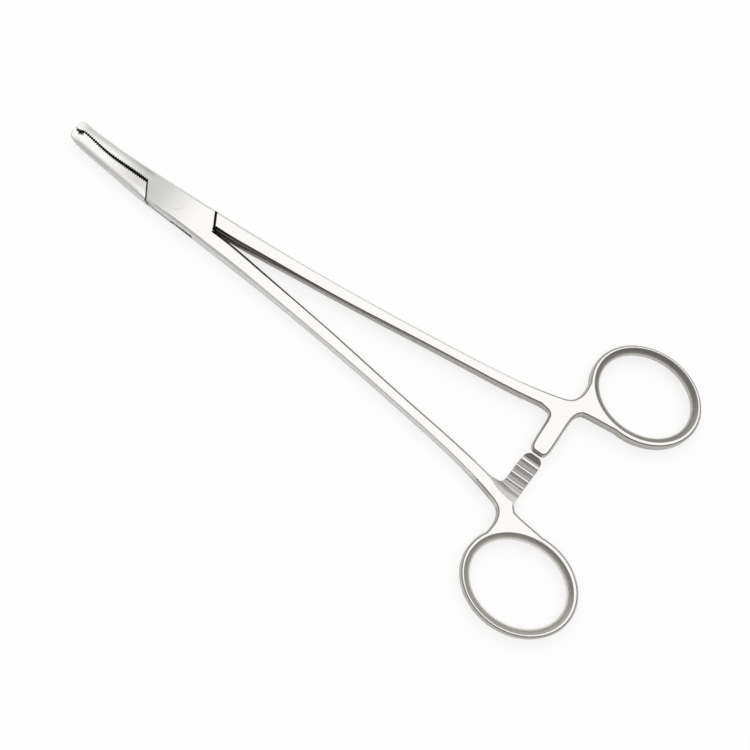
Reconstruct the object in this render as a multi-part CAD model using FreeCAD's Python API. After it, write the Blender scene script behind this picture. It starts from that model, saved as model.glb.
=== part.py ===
import FreeCAD, Part
import math
import os

from FreeCAD import Placement, Rotation, Vector

os.makedirs("parts", exist_ok=True)

# Ring-handled box lock forceps, lying flat. All sizes are in mm.
# X runs from the pin to the finger rings, Y to the tongue arm's ring, Z up.
# The pieces are drawn about the middle plane of their thickness, then lifted
# so that the underside of the box lock lies at Z = 0 with the pin on the Z axis.

# Places along X
jaw_tip_x = -42.6
crotch_x = 13.8

# Thickness along the instrument: even at the jaws, the box and the shanks
box_thickness = 5.9
jaw_thickness = 3.5
shank_thickness = 4.3
jaw_even_x = -30.5
plateau_front_x = 6.0
plateau_rear_x = 15.0
shank_even_x = 62.0
front_sections = 13

# Both faces of the jaws are crowned: they fall by this much at this distance from
# the middle of the closed pair, and are flat again from crown_end_x on.
jaw_crown = 0.3
crown_half_width = 4.0
crown_end_x = -7.0
tip_middle_y = 1.75

# Side walls stand upright at mid height and roll over to both faces. At a face the
# outline has drawn in by a share of half the thickness, following a power of the height.
roll_share = 0.34
roll_power = 4
roll_limit = 1.5
wall_heights = [1.2, 1.9, 2.4, 3.05]
# A side curve is cut into edges that each run over this many of its points
points_per_edge = 3

# Outer side of the shanks, mirrored: distance along X and half spread in Y
shank_outer = [(0, 5.0), (14, 5.6), (32.3, 6.57), (62.7, 9.0), (92.2, 12.2),
               (120.8, 16.65), (126.0, 18.0), (128.8, 19.3), (130.1, 21.5),
               (130.3, 24.6), (129.9, 29.0)]
# Inner side of the shanks, from the crotch behind the box to the ring
shank_inner = [(crotch_x, 0.12), (19.5, 0.33), (32.3, 1.57), (62.7, 4.8), (92.2, 8.5),
               (120.8, 12.2), (126.5, 13.7), (131.0, 16.0), (134.0, 17.15), (137.0, 17.65),
               (142.0, 18.15), (148.0, 19.4)]
# Outer side of the closed jaws, from the upper side of the box round the tips to the lower
jaw_outer = [(-12.4, 4.7), (-25.5, 4.47), (-34.0, 4.72), (-39.0, 5.02), (-41.3, 5.15),
             (-42.1, 4.75), (-42.4, 3.9), (-42.55, 2.3), (jaw_tip_x, 0.5), (-42.3, -0.65),
             (-41.5, -1.4), (-39.8, -1.95), (-37.9, -2.25), (-31.2, -2.94), (-24.6, -3.52),
             (-12.4, -4.65)]

# Finger rings
ring_centre = (145.2, 32.43)
ring_outer_half_length = 16.9
ring_outer_half_width = 14.15
ring_hole_half_length = 13.95
ring_hole_half_width = 11.2
ring_hole_shift = 0.25
ring_turn = -3.0
ring_hole_draw_in = 0.36

# Box lock
cheek_gap = 2.5
tongue_clearance = 0.09
heel_top = (-12.4, 0.1)
heel_bottom = (-9.5, -4.1)
heel_gap = 0.27
heel_bevel = 0.55
heel_bevel_depth = 0.4
cheek_bevel = 0.3
cheek_bevel_depth = 0.45
shoulder_top = (11.3, 4.3)
shoulder_bottom = (13.5, 0.75)
shoulder_gap = 0.4
slot_end_x = 9.3
crotch_clearance = 0.35
pin_diameter = 3.4
pin_clearance = 0.04

# Jaw faces at rest: the upper face belongs to the box arm, the lower to the tongue arm
upper_face = [(-12.3, 1.08), (-24.2, 1.33), (-29.1, 1.5), (-33.5, 2.0), (-38.6, 2.56)]
lower_face = [(-12.3, 0.16), (-24.0, 0.27), (-28.9, 0.6), (-33.5, 1.27), (-38.6, 1.96)]
serration_pitch = 0.86
serration_depth = 0.42

# Ends of both jaw faces at the tips, in front of the serrations
upper_tip = [(-38.9, 2.85), (-39.3, 2.35), (-39.6, 2.65), (-39.9, 2.3), (-41.1, 2.0)]
lower_tip = [(-39.1, 1.8), (-39.7, 1.4), (-40.2, 1.2)]

# Mouse tooth: one on the tongue arm, which bites into a groove in the box arm
tooth_start_x = -39.9
tooth_half_width = 0.62
tooth_top_y = 2.8
groove_clearance = 0.12
groove_extra_depth = 0.35
# A slanted relief in the tongue arm's jaw beside the tooth
relief = [(-40.4, 1.15), (-38.75, 1.85)]
relief_width = 0.8
relief_depth = 0.5

# Ratchet bars: both sides of the tongue arm's, from the shank and to the ring
ratchet_left = [(119.5, 13.3), (121.8, 12.6), (123.6, 12.3), (124.9, 12.05), (125.75, 11.5),
                (126.1, 10.4), (126.25, 8.0), (126.55, 2.3), (126.95, 1.0), (127.7, 0.3),
                (128.7, 0.13)]
ratchet_right = [(130.2, 0.13), (131.3, 0.4), (132.0, 1.15), (132.3, 2.4), (132.3, 6.0),
                 (132.15, 12.0), (132.2, 14.0), (132.6, 15.7), (133.6, 17.0), (135.6, 18.4)]
ratchet_pad_drop = 0.2
ratchet_root_drop = 0.62
ratchet_crest_rise = 0.15
ratchet_pad_length = 1.5
ratchet_first_crest = 3.1
ratchet_pitch = 2.4
ratchet_teeth = 4
ratchet_locking_lean = 0.18
ratchet_flat = 0.9
# Behind the flat the bar runs out into the shank in a slope, whose upper edge lies
# this far behind the flat at each place along X.
slope_edge = [(117.0, 0.6), (122.2, 1.8), (126.3, 3.35), (130.0, 3.95), (136.0, 4.1)]
slope_length = 3.0
slope_overshoot = 0.1
slope_start = (ratchet_first_crest + (ratchet_teeth - 1) * ratchet_pitch
               + ratchet_locking_lean + ratchet_flat)

# Cutting shapes reach past the object by the margin, fused ones overlap a little
margin = 3.0
overlap = 0.3
far_left = jaw_tip_x - margin
far_right = ring_centre[0] + ring_outer_half_length + margin
far_side = ring_centre[1] + ring_outer_half_length + margin
jaw_side = shank_outer[1][1] + margin
tall = box_thickness / 2 + margin


def vec(point, z=0.0):
    return Vector(point[0], point[1], z)


def mirrored(points):
    return [(x, -y) for x, y in points]


def eased(x, start, end):
    """A share that rises smoothly from 0 at the start to 1 at the end."""
    share = min(max((x - start) / (end - start), 0.0), 1.0)
    return share * share * (3 - 2 * share)


def half_thickness(x):
    """Half the thickness of the flush body at a place along X."""
    front = (box_thickness - jaw_thickness) * eased(x, jaw_even_x, plateau_front_x)
    fall = (box_thickness - shank_thickness) * eased(x, plateau_rear_x, shank_even_x)
    return (jaw_thickness + front - fall) / 2


def roll(x, z):
    """How far a side wall has drawn in at one place and height."""
    half = half_thickness(x)
    rise = abs(z) / half
    if rise <= 1:
        return roll_share * half * rise ** roll_power
    return roll_share * half * min(1 + roll_power * (rise - 1), roll_limit)


def prism(points, bottom=-tall, top=tall):
    """A straight-sided solid over a polygon, from one height to another."""
    corners = [vec(p, bottom) for p in points]
    face = Part.Face(Part.makePolygon(corners + corners[:1]))
    return face.extrude(Vector(0, 0, top - bottom))


def joined(start, end):
    return Part.LineSegment(start, end).toShape()


def closed(edges):
    """A closed wire: the edges in order, with straight lines from each to the next."""
    parts = []
    for edge, following in zip(edges, edges[1:] + edges[:1]):
        end = edge.valueAt(edge.LastParameter)
        start = following.valueAt(following.FirstParameter)
        parts.append(edge)
        if end.distanceToPoint(start) > 1e-6:
            parts.append(joined(end, start))
    return Part.Wire(parts)


def side_curve(points, z):
    """A smooth curve through the points, moved to its left by the roll of the wall at
    height z, as a list of short edges that meet smoothly."""
    curve = Part.BSplineCurve()
    curve.interpolate([vec(p) for p in points])
    knots = curve.getKnots()
    moved = []
    for knot in knots:
        ahead = curve.tangent(knot)[0]
        spot = curve.value(knot)
        spot += Vector(-ahead.y, ahead.x, 0) * roll(spot.x, z)
        moved.append(Vector(spot.x, spot.y, z))
    result = Part.BSplineCurve()
    result.interpolate(Points=moved, Parameters=knots)
    stops = [*knots[:-1:points_per_edge], knots[-1]]
    edges = []
    for start, end in zip(stops, stops[1:]):
        piece = result.copy()
        piece.segment(start, end)
        edges.append(piece.toShape())
    return edges


def wall_levels():
    """Heights of the sections of a side wall, from the lowest to the highest."""
    return [-z for z in reversed(wall_heights)] + wall_heights


def blank():
    """Jaws, box and shanks seen from above, with rolled side walls. The curves run so
    that the metal is on their left: round the outside, then along both inner sides."""
    outer = shank_outer[::-1] + jaw_outer + mirrored(shank_outer)
    lower_inner = mirrored(shank_inner)[::-1]
    sections = [closed(side_curve(outer, z) + side_curve(lower_inner, z)
                       + side_curve(shank_inner, z)) for z in wall_levels()]
    return Part.makeLoft(sections, True, True)


def oval(half_length, half_width, centre, turn, z):
    middle = vec(centre, z)
    long_axis = Vector(math.cos(turn), math.sin(turn), 0)
    short_axis = Vector(-long_axis.y, long_axis.x, 0)
    ellipse = Part.Ellipse(middle + long_axis * half_length, middle + short_axis * half_width, middle)
    return Part.Wire(ellipse.toShape())


def ring_blank(side):
    """The outer form of a finger ring; side is 1 for the upper ring, -1 for the lower."""
    centre = (ring_centre[0], side * ring_centre[1])
    turn = math.radians(side * ring_turn)
    wires = []
    for z in wall_levels():
        draw = roll(ring_centre[0], z)
        wires.append(oval(ring_outer_half_length - draw, ring_outer_half_width - draw, centre, turn, z))
    return Part.makeLoft(wires, True, True)


def ring_hole(side):
    """The finger hole, narrowest at mid height and opening in a smooth curve to both faces."""
    centre = (ring_centre[0], side * (ring_centre[1] + ring_hole_shift))
    turn = math.radians(side * ring_turn)
    reach = shank_thickness / 2 + overlap
    wires = []
    for step in (-2, -1, 0, 1, 2):
        z = reach * step / 2
        grow = ring_hole_draw_in * z * z
        wires.append(oval(ring_hole_half_length + grow, ring_hole_half_width + grow, centre, turn, z))
    return Part.makeLoft(wires, True, False)


def crown_section(x):
    """An upright section across the closed jaws or the box, both faces crowned by a parabola."""
    half = half_thickness(x)
    drop = jaw_crown * (1 - eased(x, jaw_even_x, crown_end_x)) * (jaw_side / crown_half_width) ** 2
    middle = tip_middle_y * (max(heel_top[0] - x, 0) / (heel_top[0] - jaw_tip_x)) ** 2
    faces = []
    for up in (1, -1):
        face = Part.BezierCurve()
        face.setPoles([Vector(x, middle - up * jaw_side, up * (half - drop)),
                       Vector(x, middle, up * (half + drop)),
                       Vector(x, middle + up * jaw_side, up * (half - drop))])
        faces.append(face.toShape())
    return closed(faces)


def front_thickness():
    """Jaws and box as a bar of their thickness, wider than both."""
    step = (plateau_rear_x - far_left) / (front_sections - 1)
    sections = [crown_section(far_left + step * number) for number in range(front_sections)]
    return Part.makeLoft(sections, True, False)


def rear_thickness():
    """The shanks and rings as a slab of their thickness, wider than both."""
    def at(x, z):
        return Vector(x, -far_side, z)

    third = (shank_even_x - plateau_rear_x) / 3
    box_half = box_thickness / 2
    shank_half = shank_thickness / 2
    falls = []
    for up in (1, -1):
        poles = [at(plateau_rear_x, up * box_half), at(plateau_rear_x + third, up * box_half),
                 at(shank_even_x - third, up * shank_half), at(shank_even_x, up * shank_half)]
        fall = Part.BezierCurve()
        fall.setPoles(poles[::up])
        falls.append(fall.toShape())
    back = joined(at(far_right, shank_half), at(far_right, -shank_half))
    outline = closed([falls[0], back, falls[1]])
    return Part.Face(outline).extrude(Vector(0, 2 * far_side, 0))


def forging():
    """Jaws, box, shanks and rings as one flush body, before the two arms are parted."""
    body = blank().fuse([ring_blank(1), ring_blank(-1)])
    body = body.common(front_thickness().fuse(rear_thickness()))
    return body.cut([ring_hole(1), ring_hole(-1)])


def serrated(face, start):
    """Points of a toothed jaw face: crests and roots by turns, half a pitch apart."""
    curve = Part.BSplineCurve()
    curve.interpolate([vec(p) for p in face])
    length = curve.length()
    count = 2 * round(length / serration_pitch)
    points = []
    for step in range(count + 1):
        knot = curve.parameterAtDistance(length * step / count)
        ahead = curve.tangent(knot)[0]
        swing = serration_depth / 2 * (1 if (step + start) % 2 else -1)
        spot = curve.value(knot) + Vector(-ahead.y, ahead.x, 0) * swing
        points.append((spot.x, spot.y))
    return points


def along(a, b, y):
    """The point at height y on the line through two points."""
    share = (y - a[1]) / (b[1] - a[1])
    return (a[0] + share * (b[0] - a[0]), y)


def shifted(a, b, amount):
    """Two points moved square to the line between them, to its left."""
    length = math.hypot(b[0] - a[0], b[1] - a[1])
    nx, ny = -(b[1] - a[1]) / length * amount, (b[0] - a[0]) / length * amount
    return (a[0] + nx, a[1] + ny), (b[0] + nx, b[1] + ny)


def lower_jaw_region():
    """Seen from above, the part of the forging that is the tongue arm's jaw."""
    return ([heel_top] + serrated(lower_face, 0) + lower_tip
            + [(far_left, lower_tip[-1][1]), (far_left, -jaw_side),
               along(heel_top, heel_bottom, -jaw_side)])


def upper_jaw_clearing():
    """Seen from above, what is cut away below the box arm's jaw and before its cheeks."""
    top, bottom = shifted(heel_top, heel_bottom, heel_gap)
    return ([top] + serrated(upper_face, 1) + upper_tip
            + [(far_left, upper_tip[-1][1]), (far_left, -jaw_side), along(top, bottom, -jaw_side)])


def upper_shank_region():
    """Seen from above, the part of the forging that is the tongue arm's shank and ring."""
    return [along(shoulder_top, shoulder_bottom, jaw_side), shoulder_bottom, (crotch_x, 0),
            (far_right, 0), (far_right, far_side), (shoulder_top[0], far_side)]


def upper_shank_clearing():
    """Seen from above, what is cut away behind the cheeks of the box."""
    bottom, top = shifted(shoulder_bottom, shoulder_top, shoulder_gap)
    return [along(top, bottom, jaw_side), bottom, (crotch_x - shoulder_gap, -crotch_clearance),
            (shank_inner[1][0], -crotch_clearance), (far_right, 0), (far_right, far_side),
            (top[0], far_side)]


def slot():
    """The space between the two cheeks, open at both sides of the box."""
    corner = (heel_top[0], (heel_top[1] + upper_face[0][1]) / 2)
    out = along(corner, (-slot_end_x, shank_outer[0][1]), jaw_side)
    outline = [(far_left, corner[1]), corner, out, (crotch_x + margin, jaw_side),
               (crotch_x + margin, -crotch_clearance), (crotch_x - shoulder_gap, -crotch_clearance),
               (-corner[0], -corner[1]), (-out[0], -out[1]), (far_left, -jaw_side)]
    return prism(outline, -cheek_gap / 2, cheek_gap / 2)


def tongue_outline():
    """Seen from above, the thin middle of the tongue arm, which crosses the box."""
    side_y = shank_outer[0][1]
    inside_top, inside_bottom = shifted(heel_top, heel_bottom, -overlap)
    low = -side_y - 2 * overlap
    return [inside_top, heel_top, along(heel_top, (0, side_y), jaw_side),
            (crotch_x + overlap, jaw_side), (crotch_x + overlap, 0), (crotch_x, 0),
            along((crotch_x, 0), (0, -side_y), low), along(inside_top, inside_bottom, low)]


def bevel_cut(start, end, width, depth):
    """What is cut off to bevel the edges of both faces along a line, to its left."""
    ahead = vec(end) - vec(start)
    aside = Vector(-ahead.y, ahead.x, 0).normalize()
    half = half_thickness((start[0] + end[0]) / 2)
    corners = [(-width, -2 * depth), (2 * width, depth), (-width, depth)]
    points = [vec(start, half + up) + aside * side for side, up in corners]
    upper = Part.Face(Part.makePolygon(points + points[:1])).extrude(ahead)
    return upper.fuse(upper.mirror(Vector(0, 0, 0), Vector(0, 0, 1)))


def tooth_ridge(start_x, half_width, top_y):
    """A ridge along X that runs past the jaw tips, standing on the tongue arm's jaw."""
    base_y = lower_tip[-1][1] - overlap
    corners = [Vector(start_x, base_y, -half_width), Vector(start_x, base_y, half_width),
               Vector(start_x, top_y, 0)]
    face = Part.Face(Part.makePolygon(corners + corners[:1]))
    return face.extrude(Vector(far_left - start_x, 0, 0))


def pin_solid(radius):
    return Part.makeCylinder(radius, box_thickness, Vector(0, 0, -box_thickness / 2))


def ratchet_bar():
    """The tongue arm's ratchet bar before its underside is toothed."""
    sections = [closed(side_curve(ratchet_left, z) + side_curve(ratchet_right, z))
                for z in wall_levels()]
    left = ratchet_left[0][0] - margin
    slab = Part.makeBox(ratchet_right[-1][0] + margin - left, far_side, shank_thickness,
                        Vector(left, -margin, -shank_thickness / 2))
    return Part.makeLoft(sections, True, True).common(slab)


def ratchet_cut():
    """What is cut from under the tongue arm's bar: pad, sawteeth and the flat behind them."""
    outline = [(-margin, -tall), (-margin, ratchet_pad_drop), (ratchet_pad_length, ratchet_pad_drop)]
    for tooth in range(ratchet_teeth):
        crest = ratchet_first_crest + tooth * ratchet_pitch
        outline += [(crest, -ratchet_crest_rise), (crest + ratchet_locking_lean, ratchet_root_drop)]
    outline += [(slope_start, ratchet_root_drop), (slope_start, -tall)]
    left = ratchet_left[0][0]
    corners = [Vector(left, y, z) for y, z in outline]
    face = Part.Face(Part.makePolygon(corners + corners[:1]))
    return face.extrude(Vector(ratchet_right[-1][0] - left, 0, 0))


def slope_cut():
    """What is cut where the bar's underside slopes up to the face of the shank."""
    low = -shank_thickness / 2
    wires = []
    for x, behind in slope_edge:
        edge = slope_start + behind
        foot = max(slope_start, edge - slope_length)
        past_y = edge + (edge - foot) * slope_overshoot
        past_z = low - (ratchet_root_drop - low) * slope_overshoot
        corners = [Vector(x, slope_start - overlap, -tall),
                   Vector(x, slope_start - overlap, ratchet_root_drop),
                   Vector(x, foot, ratchet_root_drop), Vector(x, past_y, past_z),
                   Vector(x, past_y, -tall)]
        wires.append(Part.makePolygon(corners + corners[:1]))
    return Part.makeLoft(wires, True, True)


def turned_over(shape):
    """The same form for the other arm: turned half a turn about the X axis."""
    result = shape.copy()
    result.Placement = Placement(Vector(), Rotation(Vector(1, 0, 0), 180)).multiply(result.Placement)
    return result


def tongue_arm(body):
    ends = body.common(prism(lower_jaw_region()).fuse(prism(upper_shank_region())))
    half = cheek_gap / 2 - tongue_clearance
    tongue = body.common(prism(tongue_outline(), -half, half))
    tooth = body.common(tooth_ridge(tooth_start_x, tooth_half_width, tooth_top_y))
    heel = bevel_cut(along(heel_top, heel_bottom, -jaw_side), upper_face[0], heel_bevel, heel_bevel_depth)
    beside_tooth = bevel_cut(relief[1], relief[0], relief_width, relief_depth)
    arm = ends.cut([heel, beside_tooth]).fuse([tongue, tooth, ratchet_bar()])
    bore = pin_solid(pin_diameter / 2 + pin_clearance)
    return arm.cut([ratchet_cut(), slope_cut(), bore])


def box_arm(body):
    top, bottom = shifted(heel_top, heel_bottom, heel_gap)
    cheeks = bevel_cut(along(top, bottom, upper_face[0][1] - overlap), along(top, bottom, -jaw_side),
                       cheek_bevel, cheek_bevel_depth)
    groove = tooth_ridge(tooth_start_x + overlap, tooth_half_width + groove_clearance,
                         tooth_top_y + groove_extra_depth)
    arm = body.cut([prism(upper_jaw_clearing()), prism(upper_shank_clearing()), slot(), groove, cheeks])
    arm = arm.fuse(turned_over(ratchet_bar()))
    bore = pin_solid(pin_diameter / 2)
    return arm.cut([turned_over(ratchet_cut()), turned_over(slope_cut()), bore])


def lifted(shape):
    result = shape.removeSplitter()
    result.translate(Vector(0, 0, box_thickness / 2))
    return result


def main():
    body = forging()
    nodes = {"tongue_arm": tongue_arm(body), "box_arm": box_arm(body),
             "lock_pin": pin_solid(pin_diameter / 2)}
    for name, shape in nodes.items():
        solid = lifted(shape)
        print(name, "valid", solid.isValid(), "solids", len(solid.Solids),
              "faces", len(solid.Faces), "volume", round(solid.Volume, 2))
        solid.exportStep("parts/" + name + ".step")


main()
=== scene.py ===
# %% [markdown]
# # Ring-handled box lock forceps, dressed for its photograph
# The solids come from the CAD frame at their real size: two forged arms that cross in a box lock,
# and the pin that holds them. They are already the right shape, so this lesson leaves their meshes
# alone. It sets the camera, the studio and the steel, because on a bright instrument nearly all of
# the look is what the metal mirrors and how finely its surface was brushed.

# %% Load the frame
import math
from types import SimpleNamespace

import bpy
import numpy as np
from mathutils import Matrix, Vector


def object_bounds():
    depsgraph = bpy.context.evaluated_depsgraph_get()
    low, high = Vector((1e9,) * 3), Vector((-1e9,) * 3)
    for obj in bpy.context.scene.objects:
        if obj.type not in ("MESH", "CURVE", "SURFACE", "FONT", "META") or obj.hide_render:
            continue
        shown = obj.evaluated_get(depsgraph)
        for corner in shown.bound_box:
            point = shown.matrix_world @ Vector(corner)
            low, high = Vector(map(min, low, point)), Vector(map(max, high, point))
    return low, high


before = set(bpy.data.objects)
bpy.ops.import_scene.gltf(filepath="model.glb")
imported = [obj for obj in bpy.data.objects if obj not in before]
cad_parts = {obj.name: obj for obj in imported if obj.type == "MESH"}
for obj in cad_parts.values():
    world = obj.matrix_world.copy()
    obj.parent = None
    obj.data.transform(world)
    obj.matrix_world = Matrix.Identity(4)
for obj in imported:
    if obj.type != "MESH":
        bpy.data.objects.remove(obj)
cad_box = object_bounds()
scene = bpy.context.scene
scene.view_settings.view_transform = "Standard"

# %% [markdown]
# ## The camera
# The instrument lies flat, and the camera looks down on it from its jaw side, about sixteen degrees
# off the vertical, with the jaws at the upper left and the rings at the lower right. One way is to
# turn the object under a straight camera. Here the object stays in its own frame and the camera is
# turned about the vertical instead, so that other views still stand on the same floor. Its lens was
# worked out from how much smaller the far ring looks than the near one.

# %% Camera at the photograph's viewing angle
MM = 0.001
camera_place = Vector((126.28, -73.04, 289.46)) * MM
camera_heading = math.radians(36.01)
camera_lean = math.radians(15.75)
camera_lens = 49.45
camera_sensor = 36
camera_nearest = 10 * MM


def camera_axes(heading, lean):
    """Right, up and backward directions of a level camera.

    Right is the X axis turned by the heading. Looking down is straight down, leaned by the angle
    towards the side that right has on its left.
    """
    right = Vector((math.cos(heading), math.sin(heading), 0))
    away = Vector((-right.y, right.x, 0))
    up = away * math.cos(lean) + Vector((0, 0, math.sin(lean)))
    backward = Vector((0, 0, math.cos(lean))) - away * math.sin(lean)
    return right, up, backward


lens = bpy.data.cameras.new("camera")
lens.lens = camera_lens
lens.sensor_width = camera_sensor
lens.clip_start = camera_nearest
camera = bpy.data.objects.new("camera", lens)
scene.collection.objects.link(camera)
turned = Matrix(camera_axes(camera_heading, camera_lean)).transposed()
camera.matrix_world = Matrix.Translation(camera_place) @ turned.to_4x4()
scene.camera = camera
print("camera", [round(x / MM, 1) for x in camera.location], "mm, lens", lens.lens)

# %% [markdown]
# ## Node helpers
# Every material below is a chain of small nodes. A few helpers keep the chains readable: one adds a
# node and fills its inputs, and the others do arithmetic, ramps and blends, open a node group with
# named sockets, and place that group in a material.


# %% Helpers for shader nodes
def put(tree, kind, inputs=None, **settings):
    """Adds a node. An input is either a value or the socket that feeds it."""
    node = tree.nodes.new(kind)
    for name, value in settings.items():
        setattr(node, name, value)
    for name, value in (inputs or {}).items():
        socket = node.inputs[name]
        if isinstance(value, bpy.types.NodeSocket):
            tree.links.new(value, socket)
        else:
            socket.default_value = value
    return node


def math_node(tree, operation, *values):
    """One step of arithmetic, given back as its output socket."""
    return put(tree, "ShaderNodeMath", dict(enumerate(values)), operation=operation).outputs[0]


def ramp(tree, value, low, high, out_low=0.0, out_high=1.0):
    """Smooth change from one output to another while the value goes from low to high."""
    inputs = {"Value": value, "From Min": low, "From Max": high,
              "To Min": out_low, "To Max": out_high}
    return put(tree, "ShaderNodeMapRange", inputs, interpolation_type="SMOOTHSTEP").outputs[0]


def blend_values(tree, share, first, second):
    """The first value where the share is 0, the second where it is 1."""
    return put(tree, "ShaderNodeMix", {0: share, 2: first, 3: second}, data_type="FLOAT").outputs[0]


def open_group(name, inputs, outputs):
    """A shader node group with number inputs and their defaults, and typed outputs."""
    group = bpy.data.node_groups.new(name, "ShaderNodeTree")
    for label, value in inputs.items():
        socket = group.interface.new_socket(label, in_out="INPUT", socket_type="NodeSocketFloat")
        socket.default_value = value
    for label, kind in outputs.items():
        group.interface.new_socket(label, in_out="OUTPUT", socket_type="NodeSocket" + kind)
    given = group.nodes.new("NodeGroupInput").outputs
    return group, given, group.nodes.new("NodeGroupOutput").inputs


def place_group(tree, group, **inputs):
    """Puts a group into a material, with its own values; spaces in input names are underscores."""
    node = put(tree, "ShaderNodeGroup", node_tree=group)
    for name, value in inputs.items():
        node.inputs[name.replace("_", " ")].default_value = value
    return node.outputs


print("helpers for nodes, arithmetic, ramps, blends and groups")

# %% [markdown]
# ## The studio
# Polished steel shows its surroundings, so the light is drawn as the metal should see it. A broad
# soft box hangs overhead: flat faces mirror it and read white. Lower down the room falls off. It
# stays fairly bright on the far side and is dark on the camera's side, and that dark side draws the
# line under each bright face where a wall starts to turn down. Near the horizon the wall mirrors
# the bright table top, which keeps that line thin. Lamps could do this too, but a world shader
# does it without lamp shapes or noise.

# %% World light
box_strength = 1.53
box_middle = (-0.1, 0.22, 1.0)
box_edge_inner = math.cos(math.radians(26))
box_edge_outer = math.cos(math.radians(60))
near_room = 0.28
far_room = 0.75
room_turn = (-0.1, 0.9)
table_room = 0.62
table_lift = (0.42, 0.12)
light_colour = (1.0, 0.997, 0.99, 1)
white = (1, 1, 1, 1)
backdrop_strength = 1.0
away = (-math.sin(camera_heading), math.cos(camera_heading), 0.0)


def towards(tree, direction, aim):
    """How far a direction points the same way as an aim: 1 the same, 0 square to it."""
    node = put(tree, "ShaderNodeVectorMath", {0: direction, 1: Vector(aim).normalized()},
               operation="DOT_PRODUCT")
    return node.outputs["Value"]


world = bpy.data.worlds.new("studio")
world.use_nodes = True
scene.world = world
tree = world.node_tree
tree.nodes.clear()
direction = put(tree, "ShaderNodeTexCoord").outputs["Generated"]
room = ramp(tree, towards(tree, direction, away), *room_turn, near_room, far_room)
lift = put(tree, "ShaderNodeSeparateXYZ", {0: direction}).outputs["Z"]
room = blend_values(tree, ramp(tree, lift, *table_lift), room, table_room)
overhead = ramp(tree, towards(tree, direction, box_middle), box_edge_outer, box_edge_inner)
strength = blend_values(tree, overhead, room, box_strength)
light = put(tree, "ShaderNodeBackground", {"Color": light_colour, "Strength": strength})
backdrop = put(tree, "ShaderNodeBackground", {"Color": white, "Strength": backdrop_strength})
seen = put(tree, "ShaderNodeLightPath").outputs["Is Camera Ray"]
mixed = put(tree, "ShaderNodeMixShader", {0: seen, 1: light.outputs[0], 2: backdrop.outputs[0]})
put(tree, "ShaderNodeOutputWorld", {"Surface": mixed.outputs[0]})
print("soft box", box_strength, "room", near_room, "to", far_room, "table", table_room)

# %% [markdown]
# ## The floor
# A white sweep lies under the instrument. The photograph was lit so evenly that the steel hardly
# throws a shadow on it. A brighter lamp would wash the shadow out, but the steel with it. So the
# camera sees a floor that is partly lit and partly glowing white, which thins the shadow without
# taking it away. The metal sees nearly all of the floor as plainly lit, with a trace of the glow.

# %% Floor
floor_half = 1.5
floor_white = 1.0
floor_glow = 0.78
floor_glow_mirrored = 0.04


def flat_sheet(name, half, height):
    """A square grid of one cell: X and Y each run from minus to plus half, Z is the height."""
    u, v = np.meshgrid([-1.0, 1.0], [-1.0, 1.0])
    points = np.stack([u.ravel() * half, v.ravel() * half, np.full(4, height)], axis=1)
    mesh = bpy.data.meshes.new(name)
    mesh.from_pydata(points.tolist(), [], [(0, 1, 3, 2)])
    piece = bpy.data.objects.new(name, mesh)
    scene.collection.objects.link(piece)
    return piece


floor = flat_sheet("floor", floor_half, 0.0)
paper = bpy.data.materials.new("white_sweep")
paper.use_nodes = True
tree = paper.node_tree
tree.nodes.clear()
rays = put(tree, "ShaderNodeLightPath").outputs
mirrored = math_node(tree, "MAXIMUM", rays["Is Glossy Ray"], rays["Is Transmission Ray"])
glow = math_node(tree, "ADD", math_node(tree, "MULTIPLY", mirrored, floor_glow_mirrored),
                 math_node(tree, "MULTIPLY", rays["Is Camera Ray"], floor_glow))
lit_share = math_node(tree, "SUBTRACT", floor_white, glow)
shade = put(tree, "ShaderNodeCombineXYZ", {0: lit_share, 1: lit_share, 2: lit_share})
lit = put(tree, "ShaderNodeBsdfDiffuse", {"Color": shade.outputs[0]})
glowing = put(tree, "ShaderNodeEmission", {"Color": white, "Strength": glow})
both = put(tree, "ShaderNodeAddShader", {0: lit.outputs[0], 1: glowing.outputs[0]})
put(tree, "ShaderNodeOutputMaterial", {"Surface": both.outputs[0]})
floor.data.materials.append(paper)
print("floor", 2 * floor_half, "m square")

# %% [markdown]
# ## Places on the instrument
# The finish changes from place to place, so the groups below share one way to say where a point
# is: its object coordinates in millimetres. Those stay with the metal when an arm swings. A ramp is
# kept as the two values between which it changes. A window is 1 between two values and falls
# smoothly to 0 outside them, and is kept as its low end, its high end and its soft width.


# %% Helpers for places
def place_in_mm(tree):
    """The X, Y and Z of a point of the object, in millimetres."""
    spot = put(tree, "ShaderNodeTexCoord").outputs["Object"]
    scaled = put(tree, "ShaderNodeVectorMath", {0: spot, "Scale": 1 / MM}, operation="SCALE")
    return put(tree, "ShaderNodeSeparateXYZ", {0: scaled.outputs[0]}).outputs


def window(tree, value, low, high, soft):
    """1 from low to high, falling smoothly to 0 over the soft width outside."""
    rise = ramp(tree, value, low - soft, low)
    fall = ramp(tree, value, high + soft, high)
    return math_node(tree, "MULTIPLY", rise, fall)


def product(tree, *factors):
    """All factors multiplied together."""
    total = factors[0]
    for factor in factors[1:]:
        total = math_node(tree, "MULTIPLY", total, factor)
    return total


def largest(tree, *values):
    """The largest of the values."""
    top = values[0]
    for value in values[1:]:
        top = math_node(tree, "MAXIMUM", top, value)
    return top


def distance(tree, first, second):
    """The square root of the sum of the two squares."""
    squares = math_node(tree, "ADD", product(tree, first, first), product(tree, second, second))
    return math_node(tree, "SQRT", squares)


def past_line(tree, x, y, place, square):
    """How far a point lies past the line through a place, in the direction square to the line."""
    along_x = product(tree, math_node(tree, "SUBTRACT", x, place[0]), square[0])
    along_y = product(tree, math_node(tree, "SUBTRACT", y, place[1]), square[1])
    return math_node(tree, "ADD", along_x, along_y)


mid_height = (cad_box[0][2] + cad_box[1][2]) / 2 / MM
print("mid height of the instrument", round(mid_height, 3), "mm")

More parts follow.
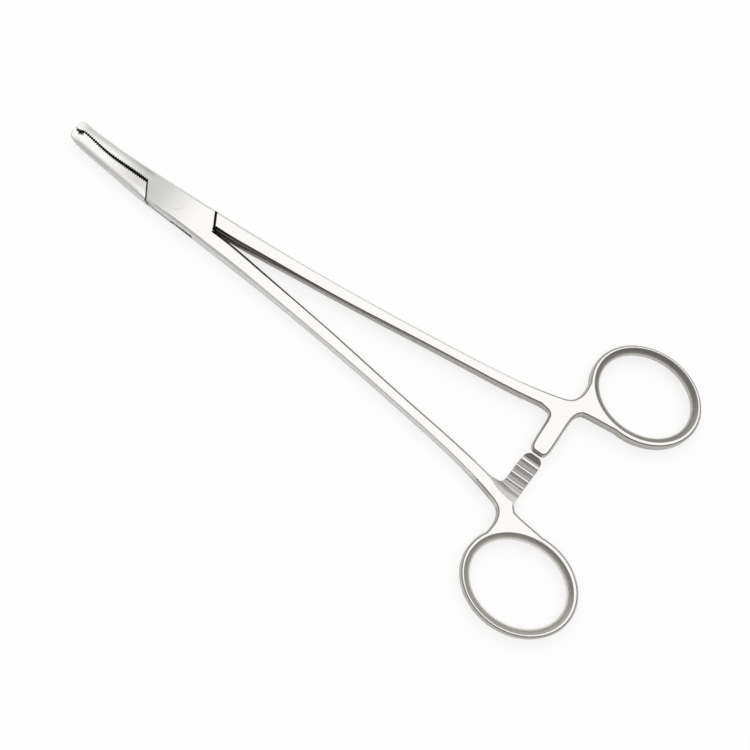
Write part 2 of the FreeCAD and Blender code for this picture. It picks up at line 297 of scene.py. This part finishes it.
# %% [markdown]
# ## Softened edges
# No real instrument has a knife-sharp corner, because the tumbling barrel rounds every one by a
# tenth of a millimetre or so, and those corners catch the light. Cutting bevels into the solids
# would be one way. The bevel node gives the same rounded reflection and leaves the mesh alone. The
# jaws and the box are crisper than the shanks and rings. Round the pin there is no edge at all,
# because it was riveted and ground flush until its seam closed. There, and on the small bevel at
# the heel of the jaw, the normal is turned straight up or down, so that both mirror the soft box.

# %% Edge softening group
jaw_radius = 0.1
shank_radius = 0.3
bevel_samples = 8
crisp_until = (14.0, 30.0)
pin_seam_reach = (2.1, 3.4)
pin_face_height = (2.4, 2.5)
heel_place = (-12.4, 0.1)
heel_square = (0.823, 0.568)
heel_bevel = (-0.6, 0.02, 0.05)
heel_bevel_side = (-4.0, 0.2, 0.2)
heel_bevel_height = (1.2, 1.4)


def edge_group():
    """Rounded normal near an edge. The radius grows from the box to the shanks, 0 at the pin.

    The bevel of the heel lies in a window of the distance past the line through heel_place, along
    heel_square. Level is the sign of the height over the middle: 1 above it and -1 below.
    """
    group, given, out = open_group("softened edges",
                                   {"Jaw Radius": jaw_radius * MM, "Shank Radius": shank_radius * MM},
                                   {"Normal": "Vector"})
    x, y, z = place_in_mm(group)
    rearward = ramp(group, x, *crisp_until)
    wide = blend_values(group, rearward, given["Jaw Radius"], given["Shank Radius"])
    off_pin = ramp(group, distance(group, x, y), *pin_seam_reach)
    radius = math_node(group, "MULTIPLY", wide, off_pin)
    rounded = put(group, "ShaderNodeBevel", {"Radius": radius}, samples=bevel_samples)
    lift = math_node(group, "SUBTRACT", z, mid_height)
    height = math_node(group, "ABSOLUTE", lift)
    level = put(group, "ShaderNodeCombineXYZ", {"Z": math_node(group, "SIGN", lift)})
    pin_face = math_node(group, "MULTIPLY", ramp(group, height, *pin_face_height),
                         math_node(group, "SUBTRACT", 1.0, off_pin))
    past_heel = past_line(group, x, y, heel_place, heel_square)
    heel = product(group, window(group, past_heel, *heel_bevel),
                   window(group, y, *heel_bevel_side), ramp(group, height, *heel_bevel_height))
    share = math_node(group, "MAXIMUM", pin_face, heel)
    ground = put(group, "ShaderNodeMix", {4: rounded.outputs[0], 5: level.outputs[0], 0: share},
                 data_type="VECTOR")
    group.links.new(ground.outputs[1], out["Normal"])
    return group


softened_edges = edge_group()
print("group", softened_edges.name)

# %% [markdown]
# ## Brushed grain
# The maker brushes the arms lengthwise with a fine belt and runs round each finger ring. Scratches
# could be drawn one by one, but a noise stretched sixty times along the belt's way looks the same.
# On the rings the same noise is read in polar terms, along the angle about the ring's middle, and
# both arms share it because the rings mirror each other across the X axis.

# %% Brushed grain group
ring_middle = (145.2, 32.43)
ring_reach = (22.0, 17.5)
ring_mean_radius = 16.215
grain_detail = 2.0
grain_roughness = 0.6
patch_scale = 0.16
patch_detail = 3.0


def grain_group():
    """Fine parallel lines as a height from 0 to 1: along X on the arms, round the finger rings.

    The way round a ring is the angle about its middle times its mean radius. Fineness is the scale
    of the noise across the lines, per millimetre, and Stretch is how much longer it is along them.
    """
    group, given, out = open_group("brushed grain", {"Fineness": 9.0, "Stretch": 60.0},
                                   {"Height": "Float", "Patches": "Float"})
    x, y, z = place_in_mm(group)
    across = math_node(group, "SUBTRACT", x, ring_middle[0])
    aside = math_node(group, "SUBTRACT", math_node(group, "ABSOLUTE", y), ring_middle[1])
    radius = distance(group, across, aside)
    angle = math_node(group, "ARCTAN2", aside, across)
    round_way = math_node(group, "MULTIPLY", angle, ring_mean_radius)
    on_ring = ramp(group, radius, *ring_reach)
    fine = given["Fineness"]
    slow = math_node(group, "DIVIDE", fine, given["Stretch"])
    lines = []
    for run, side in ((x, y), (round_way, radius)):
        place = put(group, "ShaderNodeCombineXYZ", {"X": math_node(group, "MULTIPLY", run, slow),
                                                    "Y": math_node(group, "MULTIPLY", side, fine),
                                                    "Z": math_node(group, "MULTIPLY", z, fine)})
        noise = put(group, "ShaderNodeTexNoise", {"Vector": place.outputs[0], "Scale": 1.0,
                                                  "Detail": grain_detail,
                                                  "Roughness": grain_roughness})
        lines.append(noise.outputs[0])
    group.links.new(blend_values(group, on_ring, *lines), out["Height"])
    spot = put(group, "ShaderNodeCombineXYZ", {"X": x, "Y": y, "Z": z}).outputs[0]
    patches = put(group, "ShaderNodeTexNoise", {"Vector": spot, "Scale": patch_scale,
                                                "Detail": patch_detail})
    group.links.new(patches.outputs[0], out["Patches"])
    return group


brushed_grain = grain_group()
print("group", brushed_grain.name)

# %% [markdown]
# ## Which way a side faces
# A belt or a wheel gives its finish only where it can reach, so each finish depends on where a side
# is and which way it faces, and so does the painted light and shade. Painting them on a map of each
# arm would be one way. Here they are worked out from a point's place and its normal, and so they fit
# both arms and need no map. The sides that face the X axis, where the arms meet, and the rings are
# where the shade is painted.

# %% What the masks know of a point
wall_steep = (0.95, 0.86)
upright_steep = (0.6, 0.4)
rolled_steep = (0.42, 0.66)
lengthwise_turn = (0.5, 0.7)
ring_zone = (112.0, 124.0)


def side_facts(group, softness):
    """Where a point is and which way its surface faces, under plain names.

    Steep is the size of the normal's Z: 1 on a level face, 0 on an upright wall. Facing out is the
    normal's Y times the sign of the point's Y: above 0 where a side looks away from the X axis,
    below 0 where it looks towards it. Rolled is the part of a wall that turns over to a face.
    """
    x, y, z = place_in_mm(group)
    normal = put(group, "ShaderNodeSeparateXYZ",
                 {0: put(group, "ShaderNodeTexCoord").outputs["Normal"]}).outputs
    steep = math_node(group, "ABSOLUTE", normal["Z"])
    facing_out = math_node(group, "MULTIPLY", normal["Y"], math_node(group, "SIGN", y))
    facing_in = ramp(group, facing_out, 0.0, math_node(group, "MULTIPLY", softness, -1.0))
    lengthwise = ramp(group, math_node(group, "ABSOLUTE", normal["X"]), *lengthwise_turn)
    lift = math_node(group, "SUBTRACT", z, mid_height)
    return SimpleNamespace(
        x=x, y=y, z=z, normal=normal, steep=steep, lift=lift,
        facing_out=facing_out, facing_in=facing_in,
        aside=math_node(group, "ABSOLUTE", y),
        height=math_node(group, "ABSOLUTE", lift),
        wall=ramp(group, steep, *wall_steep),
        upright=ramp(group, steep, *upright_steep),
        rolled=ramp(group, steep, *rolled_steep),
        inner=math_node(group, "MAXIMUM", facing_in, ramp(group, x, *ring_zone)),
        towards_gap=math_node(group, "MAXIMUM", facing_in, lengthwise))


print("rings count as inner from X", ring_zone[0], "to", ring_zone[1], "mm on")

# %% [markdown]
# ## Painted shade in the joints
# Where two pieces meet, light goes in and hardly comes out: between the serrated jaw faces, at the
# heel of the jaw, in the crotch behind the box and at the shoulder. Those gaps are cut in the
# solids but only a few tenths of a millimetre wide, and a bright world would still light them.
# Darkening the steel just there, by its place, paints that shade in as thin black lines. The fine
# seam that slants down the near wall of the box isn't cut in the solids, so this mask alone draws it.

# %% Painted joint shade mask
jaw_zone = (-11.7, -12.1)
heel_joint = (-0.05, 0.4, 0.05)
heel_joint_side = (-6.0, 0.6, 0.2)
apex_zone = (10.0, 11.5, 3.0)
crotch_zone = (10.0, 14.5, 9.0)
seam_rise = 2.3
seam_fall = -0.25
seam_width = (-0.4, 0.4, 0.1)
seam_zone = (-9.4, 1.0, 0.2)
seam_side = (-1.0, -2.0)
shoulder_place = (12.2, 2.75)
shoulder_square = (0.85, 0.527)
shoulder_joint = (-0.36, 0.36, 0.08)
shoulder_joint_side = (0.1, 9.0, 0.2)


def joint_painted_shade(group, side):
    """Painted shade: 1 where two pieces meet, 0 elsewhere.

    The heel and the shoulder are joint lines: the distance past the line through a place, along
    the direction square to it, lies in a window. The seam on the near wall of the box follows the
    line Z = seam_rise + seam_fall * X.
    """
    # Painted shade in the gaps; the seam on the near wall of the box is a drawn dark line.
    in_jaws = product(group, ramp(group, side.x, *jaw_zone), side.facing_in, side.upright)
    past_heel = past_line(group, side.x, side.y, heel_place, heel_square)
    at_heel = product(group, window(group, past_heel, *heel_joint),
                      window(group, side.y, *heel_joint_side), side.upright)
    in_apex = product(group, window(group, side.x, *apex_zone), side.towards_gap, side.upright)
    in_crotch = product(group, window(group, side.x, *crotch_zone), side.towards_gap, side.wall,
                        side.rolled)
    seam_height = math_node(group, "MULTIPLY_ADD", side.x, seam_fall, seam_rise)
    off_seam = math_node(group, "SUBTRACT", side.z, seam_height)
    on_seam = product(group, window(group, off_seam, *seam_width), window(group, side.x, *seam_zone),
                      ramp(group, side.y, *seam_side), side.wall)
    past_shoulder = past_line(group, side.x, side.y, shoulder_place, shoulder_square)
    at_shoulder = product(group, window(group, past_shoulder, *shoulder_joint),
                          window(group, side.y, *shoulder_joint_side))
    return largest(group, in_jaws, at_heel, in_apex, in_crotch, on_seam, at_shoulder)


print("heel joint at X", heel_place[0], "mm, shoulder joint at X", shoulder_place[0], "mm")

# %% [markdown]
# ## The ratchet's finish and painted light
# The teeth are cut by a milling cutter, which leaves them greyer than the polished faces, and their
# crests are painted bright, a painted highlight. Behind them a ground slope runs out into the shank,
# painted lighter, a painted reflection. All of it lies on one side of each bar only: the other side
# is a plain polished face. Materials per face would need a changed mesh, so the place and the normal
# tell these parts from each other.

# %% Ratchet masks
bar_zone = (115.5, 137.5, 0.5)
tooth_side = (0.0, 13.6, 0.1)
tooth_height = (0.0, 1.0, 0.2)
tooth_steep = (0.1, 0.3)
crest_rise = (0.0, 0.05)
crest_steep = (0.8, 0.9)
slope_side = (11.2, 15.8, 0.1)
slope_fade = (11.2, 13.8, 0.15, 1.0)
slope_height = (0.0, 2.02, 0.04)
toothed_side = (-0.1, -0.3)


def ratchet_masks(group, side):
    """The milled teeth, their crests and the slope behind them.

    A crest is the level part of a tooth that stands past mid height, towards the side it faces:
    the height over the middle times the sign of the normal's Z is above 0. The slope is on the
    toothed side, where the normal's Z times the sign of the point's Y is below 0.
    """
    on_bar = window(group, side.x, *bar_zone)
    milled = product(group, on_bar, window(group, side.aside, *tooth_side),
                     window(group, side.height, *tooth_height),
                     ramp(group, side.steep, *tooth_steep))
    past_middle = math_node(group, "MULTIPLY", side.lift,
                            math_node(group, "SIGN", side.normal["Z"]))
    # Painted highlight on the crests.
    crest = product(group, milled, ramp(group, past_middle, *crest_rise),
                    ramp(group, side.steep, *crest_steep))
    # Painted reflection: the slope is lightened.
    plain_side = math_node(group, "MULTIPLY", side.normal["Z"], math_node(group, "SIGN", side.y))
    slope = product(group, on_bar, window(group, side.aside, *slope_side),
                    ramp(group, side.aside, *slope_fade), ramp(group, plain_side, *toothed_side),
                    window(group, side.height, *slope_height))
    return milled, crest, slope


print("teeth up to", tooth_side[1], "mm and slope up to", slope_side[1], "mm from the X axis")

# %% [markdown]
# ## Where each finish and each painted light lies
# The flat faces are polished. The outer sides are ground with a coarser belt, which makes their
# reflection rougher, and their lighter grey is a painted reflection. The inner sides and the rings
# are a little rougher, and painted darker and browner, a painted shade, which is darkest in the lip
# that rolls over to the face. The wall of a finger hole faces the ring's middle, which tells it from
# the ring's outside. The small bevel on the heel of the jaw is painted bright, a painted highlight.
# One group puts out all of these masks, so that both arms' steels are dressed by the same rules.

# %% Finish and painted light mask group
lip_fade = (20.0, 150.0, 1.0, 0.45)
heel_zone = (-13.3, -9.0, 0.1)
heel_steep = (0.6, 0.92, 0.05)
heel_facing = (0.3, 0.45)
hole_zone = (124.0, 130.0)
hole_facing = (0.0, 3.0)
mask_names = ("Hole", "Wall", "Inner", "Lip", "Recess", "Milled", "Slope", "Crest", "Heel")


def hole_wall(group, side):
    """1 on the wall of a finger hole.

    The way to the ring's middle times the normal, X part plus Y part, is above 0 on that wall and
    below 0 on the ring's outer wall.
    """
    along = math_node(group, "SUBTRACT", ring_middle[0], side.x)
    across = math_node(group, "SUBTRACT", ring_middle[1], side.aside)
    to_middle = math_node(group, "ADD", product(group, along, side.normal["X"]),
                          product(group, across, side.facing_out))
    return product(group, side.wall, ramp(group, to_middle, *hole_facing),
                   ramp(group, side.x, *hole_zone))


def finish_and_light_group():
    """A mask from 0 to 1 for each finish and each painted light. Softness is how far a side turns before
    it is inner.
    """
    group, given, out = open_group("finish and painted light masks", {"Softness": 0.3},
                                   dict.fromkeys(mask_names, "Float"))
    side = side_facts(group, given["Softness"])
    # Painted shade on the inner walls, darkest in the lip that rolls over to the face.
    inner_wall = product(group, side.wall, side.inner)
    lip = product(group, inner_wall, side.rolled, ramp(group, side.x, *lip_fade))
    milled, crest, slope = ratchet_masks(group, side)
    # Painted highlight on the heel bevel.
    heel = product(group, window(group, side.x, *heel_zone), window(group, side.steep, *heel_steep),
                   ramp(group, side.normal["X"], *heel_facing))
    masks = (hole_wall(group, side), side.wall, inner_wall, lip, joint_painted_shade(group, side),
             milled, slope, crest, heel)
    for name, mask in zip(mask_names, masks):
        group.links.new(mask, out[name])
    return group


finish_and_light_masks = finish_and_light_group()
print("group", finish_and_light_masks.name, "with", len(mask_names), "masks")

# %% [markdown]
# ## Tones of the finishes and of the painted light
# Stainless steel is a metal with a slightly warm grey of its own. The faces are satin: bright, but
# with a reflection a few degrees wide, which the roughness sets. Each other finish is a tone and a
# roughness of its own. Several tones are painted light: the lighter outer walls and slope, the darker
# inner walls and lip, the near-black gaps, and the bright crests and heel bevel. A separate material
# for each would need the faces split, so they are laid over the first by their masks, in the order
# of the list.

# %% Finish and painted light layers
face_tone = (0.65, 0.645, 0.632)
# Painted reflection: the outer walls are lighter than the faces.
outer_painted_light_tone = (0.76, 0.755, 0.745)
# Painted shade: the inner walls and the rings are darker and browner, the lip darker still.
inner_painted_shade_tone = (0.52, 0.502, 0.475)
lip_painted_shade_tone = (0.16, 0.152, 0.143)
# Painted shade: the gaps between the pieces are near black.
gap_painted_shade_tone = (0.015, 0.015, 0.015)
milled_tone = (0.5, 0.482, 0.476)
# Painted reflection: the slope behind the teeth is lighter than plain steel.
slope_painted_light_tone = (0.87, 0.86, 0.838)
# Painted highlight: the tooth crests and the heel bevel are bright.
painted_highlight_tone = (0.85, 0.85, 0.84)
face_rough = 0.24
finish_and_light_layers = {
    "Wall": (outer_painted_light_tone, 0.5),
    "Inner": (inner_painted_shade_tone, 0.3),
    "Lip": (lip_painted_shade_tone, 0.3),
    "Recess": (gap_painted_shade_tone, 0.3),
    "Milled": (milled_tone, 0.5),
    "Slope": (slope_painted_light_tone, 0.75),
    "Crest": (painted_highlight_tone, 0.3),
    "Heel": (painted_highlight_tone, 0.3),
}


def blend_colours(tree, share, first, second):
    """The first colour where the share is 0, the second where it is 1."""
    return put(tree, "ShaderNodeMix", {0: share, 6: first, 7: second}, data_type="RGBA").outputs[2]


def layered(tree, masks):
    """Colour and roughness of the face with every finish and painted light laid over it by its mask."""
    colour, rough = face_tone + (1,), face_rough
    for mask, (tone, own_rough) in finish_and_light_layers.items():
        colour = blend_colours(tree, masks[mask], colour, tone + (1,))
        rough = blend_values(tree, masks[mask], rough, own_rough)
    return colour, rough


print("layers over the faces", list(finish_and_light_layers))

# %% [markdown]
# ## Steel
# The grain moves the roughness and a very shallow bump, and larger patches keep it from looking
# machine-made. Broad soft painted shade shows too: one end of the box and the outer edge of each jaw
# are painted a little darker, and the wall of each finger hole a little lighter, a painted reflection.
# A window along X and a ramp across it describe them. They differ from one arm to the other, so each
# arm's steel has its own values.

# %% Steel materials
bump_height = 0.004
grain_rough = (0.3, 0.7, -0.03, 0.03)
patch_rough = (0.3, 0.7, -0.02, 0.02)
grain_shade = (0.25, 0.75, 0.965, 1.0)
jaw_length = (-38.0, -14.0, 4.0)
pad_until = (2.1, 1.7)
pad_depth = 0.66
milling_lines = 3.2
milling_range = (0.35, 0.65)
milling_depth = 0.35


def dimmed(tree, mask, depth):
    """1 outside the mask and lower by the depth inside it. A depth below 0 brightens."""
    return math_node(tree, "MULTIPLY_ADD", mask, -depth, 1.0)


def milling_cuts(tree, y, milled):
    """Fine lines across the ratchet bar: a noise along Y alone, only where the bar is milled."""
    lines = put(tree, "ShaderNodeTexNoise", {"W": math_node(tree, "MULTIPLY", y, milling_lines),
                                             "Scale": 1.0, "Detail": 1.0},
                noise_dimensions="1D").outputs[0]
    return ramp(tree, lines, *milling_range, dimmed(tree, milled, milling_depth), 1.0)


def steel(name, end_shade_x, end_shade_reach, end_shade_aside, end_shade_depth, jaw_edge, jaw_reach, jaw_shade_depth, hole_light_gain):
    """Brushed steel with its finishes and its painted light laid over each other by their masks.

    One end of the box is painted a little darker by end_shade_depth, a painted shade: it lies round
    end_shade_x and fades out over end_shade_reach on both sides, and over the distances from the X
    axis in end_shade_aside. The jaw is painted darker by jaw_shade_depth along its outer edge, a
    painted shade, fading over the distances in jaw_reach. The edge is the line
    Y = jaw_edge[0] + jaw_edge[1] * X. The wall of the finger hole is painted brighter by
    hole_light_gain, a painted reflection.
    """
    material = bpy.data.materials.new(name)
    material.use_nodes = True
    tree = material.node_tree
    tree.nodes.clear()
    edges = place_group(tree, softened_edges, Jaw_Radius=jaw_radius * MM, Shank_Radius=shank_radius * MM)
    grain = place_group(tree, brushed_grain)
    masks = place_group(tree, finish_and_light_masks)
    bump = put(tree, "ShaderNodeBump", {"Height": grain["Height"], "Normal": edges["Normal"],
                                        "Distance": bump_height * MM, "Strength": 1.0})
    colour, rough = layered(tree, masks)
    lined = ramp(tree, grain["Height"], *grain_rough)
    patchy = ramp(tree, grain["Patches"], *patch_rough)
    rough = math_node(tree, "ADD", rough, math_node(tree, "ADD", lined, patchy))
    x, y = place_in_mm(tree)[:2]
    aside = math_node(tree, "ABSOLUTE", y)
    on_faces = math_node(tree, "SUBTRACT", 1.0, masks["Wall"])
    # Painted shade: one end of the box is darker.
    end_shade = product(tree, window(tree, x, end_shade_x, end_shade_x, end_shade_reach),
                   ramp(tree, aside, *end_shade_aside), on_faces)
    # Painted shade: the outer edge of each jaw is darker.
    edge = math_node(tree, "MULTIPLY_ADD", x, jaw_edge[1], jaw_edge[0])
    from_edge = math_node(tree, "ABSOLUTE", math_node(tree, "SUBTRACT", y, edge))
    jaw_edge_shade = product(tree, ramp(tree, from_edge, *jaw_reach), window(tree, x, *jaw_length), on_faces)
    on_pad = product(tree, masks["Milled"], ramp(tree, aside, *pad_until))
    # The finger hole's wall is brightened by a painted reflection; the box end and the jaw edge are
    # darkened by painted shade.
    shade = product(tree, ramp(tree, grain["Height"], *grain_shade), dimmed(tree, end_shade, end_shade_depth),
                    dimmed(tree, jaw_edge_shade, jaw_shade_depth), dimmed(tree, masks["Hole"], -hole_light_gain),
                    dimmed(tree, on_pad, pad_depth), milling_cuts(tree, y, masks["Milled"]))
    tint = put(tree, "ShaderNodeVectorMath", {0: colour, "Scale": shade}, operation="SCALE")
    shader = put(tree, "ShaderNodeBsdfPrincipled", {"Base Color": tint.outputs[0], "Metallic": 1.0,
                                                    "Roughness": rough, "Normal": bump.outputs[0]})
    put(tree, "ShaderNodeOutputMaterial", {"Surface": shader.outputs[0]})
    return material


# Each arm has its own painted shade at the box end and the jaw edge, and its own painted reflection on
# the finger hole's wall.
box_steel = steel("box_arm_steel", end_shade_x=-10.0, end_shade_reach=18.5, end_shade_aside=(12.0, 9.0),
                  end_shade_depth=0.36, jaw_edge=(4.6, 0.0), jaw_reach=(2.7, 0.6), jaw_shade_depth=0.36,
                  hole_light_gain=0.45)
tongue_steel = steel("tongue_arm_steel", end_shade_x=-15.0, end_shade_reach=14.0, end_shade_aside=(3.4, 1.2),
                     end_shade_depth=0.24, jaw_edge=(-5.87, -0.0985), jaw_reach=(1.9, 0.55),
                     jaw_shade_depth=0.48, hole_light_gain=0.1)
print("steels", box_steel.name, tongue_steel.name)

# %% [markdown]
# ## Dressing the pieces
# Each arm gets its own steel. The pin was ground flush together with the box, so it wears the same
# steel as the box arm, and its seam goes on disappearing when the other arm swings.

# %% Materials on the pieces
finishes = {"box_arm": box_steel, "tongue_arm": tongue_steel, "lock_pin": box_steel}
for name, finish in finishes.items():
    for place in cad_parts[name].material_slots:
        place.material = finish
print("finished", sorted(finishes))
